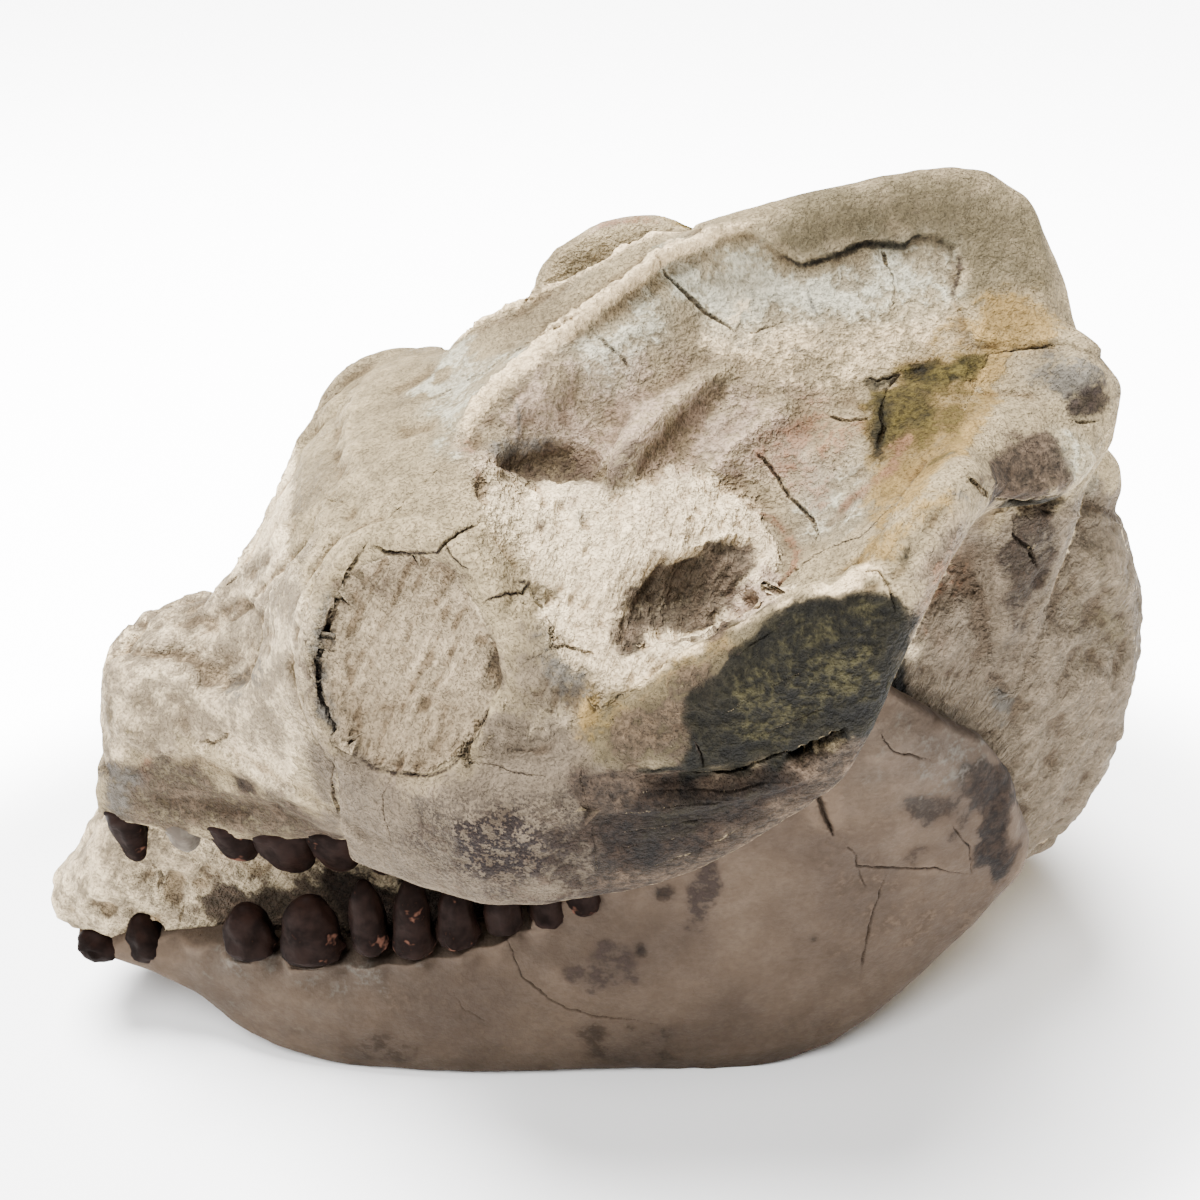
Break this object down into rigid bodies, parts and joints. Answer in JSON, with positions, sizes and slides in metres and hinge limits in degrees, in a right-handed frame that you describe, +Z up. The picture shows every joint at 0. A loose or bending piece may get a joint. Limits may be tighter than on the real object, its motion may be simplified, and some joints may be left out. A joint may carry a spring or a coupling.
{
  "type": "fossil oreodont skull",
  "caption": "Life-size fossil oreodont skull with its lower jaws closed, sediment still filling the eye sockets, temples, mouth and nape; a still museum model that rests on its jaws.",
  "frame": {"origin": "bottom centre of the whole skull, on the table under the lower jaws", "axes": "+Z up, +X towards the back of the skull, the animal's left cheek towards -Y"},
  "size_m": [0.206, 0.1292, 0.1567],
  "materials": {
    "bone": "matte fossil bone, tan and pink-grey with dark mineral stains",
    "jawbone": "smooth brown-grey fossil bone with near-black teeth",
    "sediment": "pale chiselled siltstone"
  },
  "bodies": {
    "root": {"snout": "bone", "face": "bone", "braincase": "bone", "sagittal_crest": "bone", "occiput": "bone", "zygomatic_arch_left": "bone", "zygomatic_arch_right": "bone", "paroccipital_process_left": "bone", "paroccipital_process_right": "bone", "lower_jaw_left": "jawbone", "lower_jaw_right": "jawbone", "eye_socket_sediment_left": "sediment", "eye_socket_sediment_right": "sediment", "temple_sediment_left": "sediment", "temple_sediment_right": "sediment", "nose_sediment": "sediment", "mouth_sediment": "sediment", "nape_sediment": "sediment"}
  },
  "joints": []
}
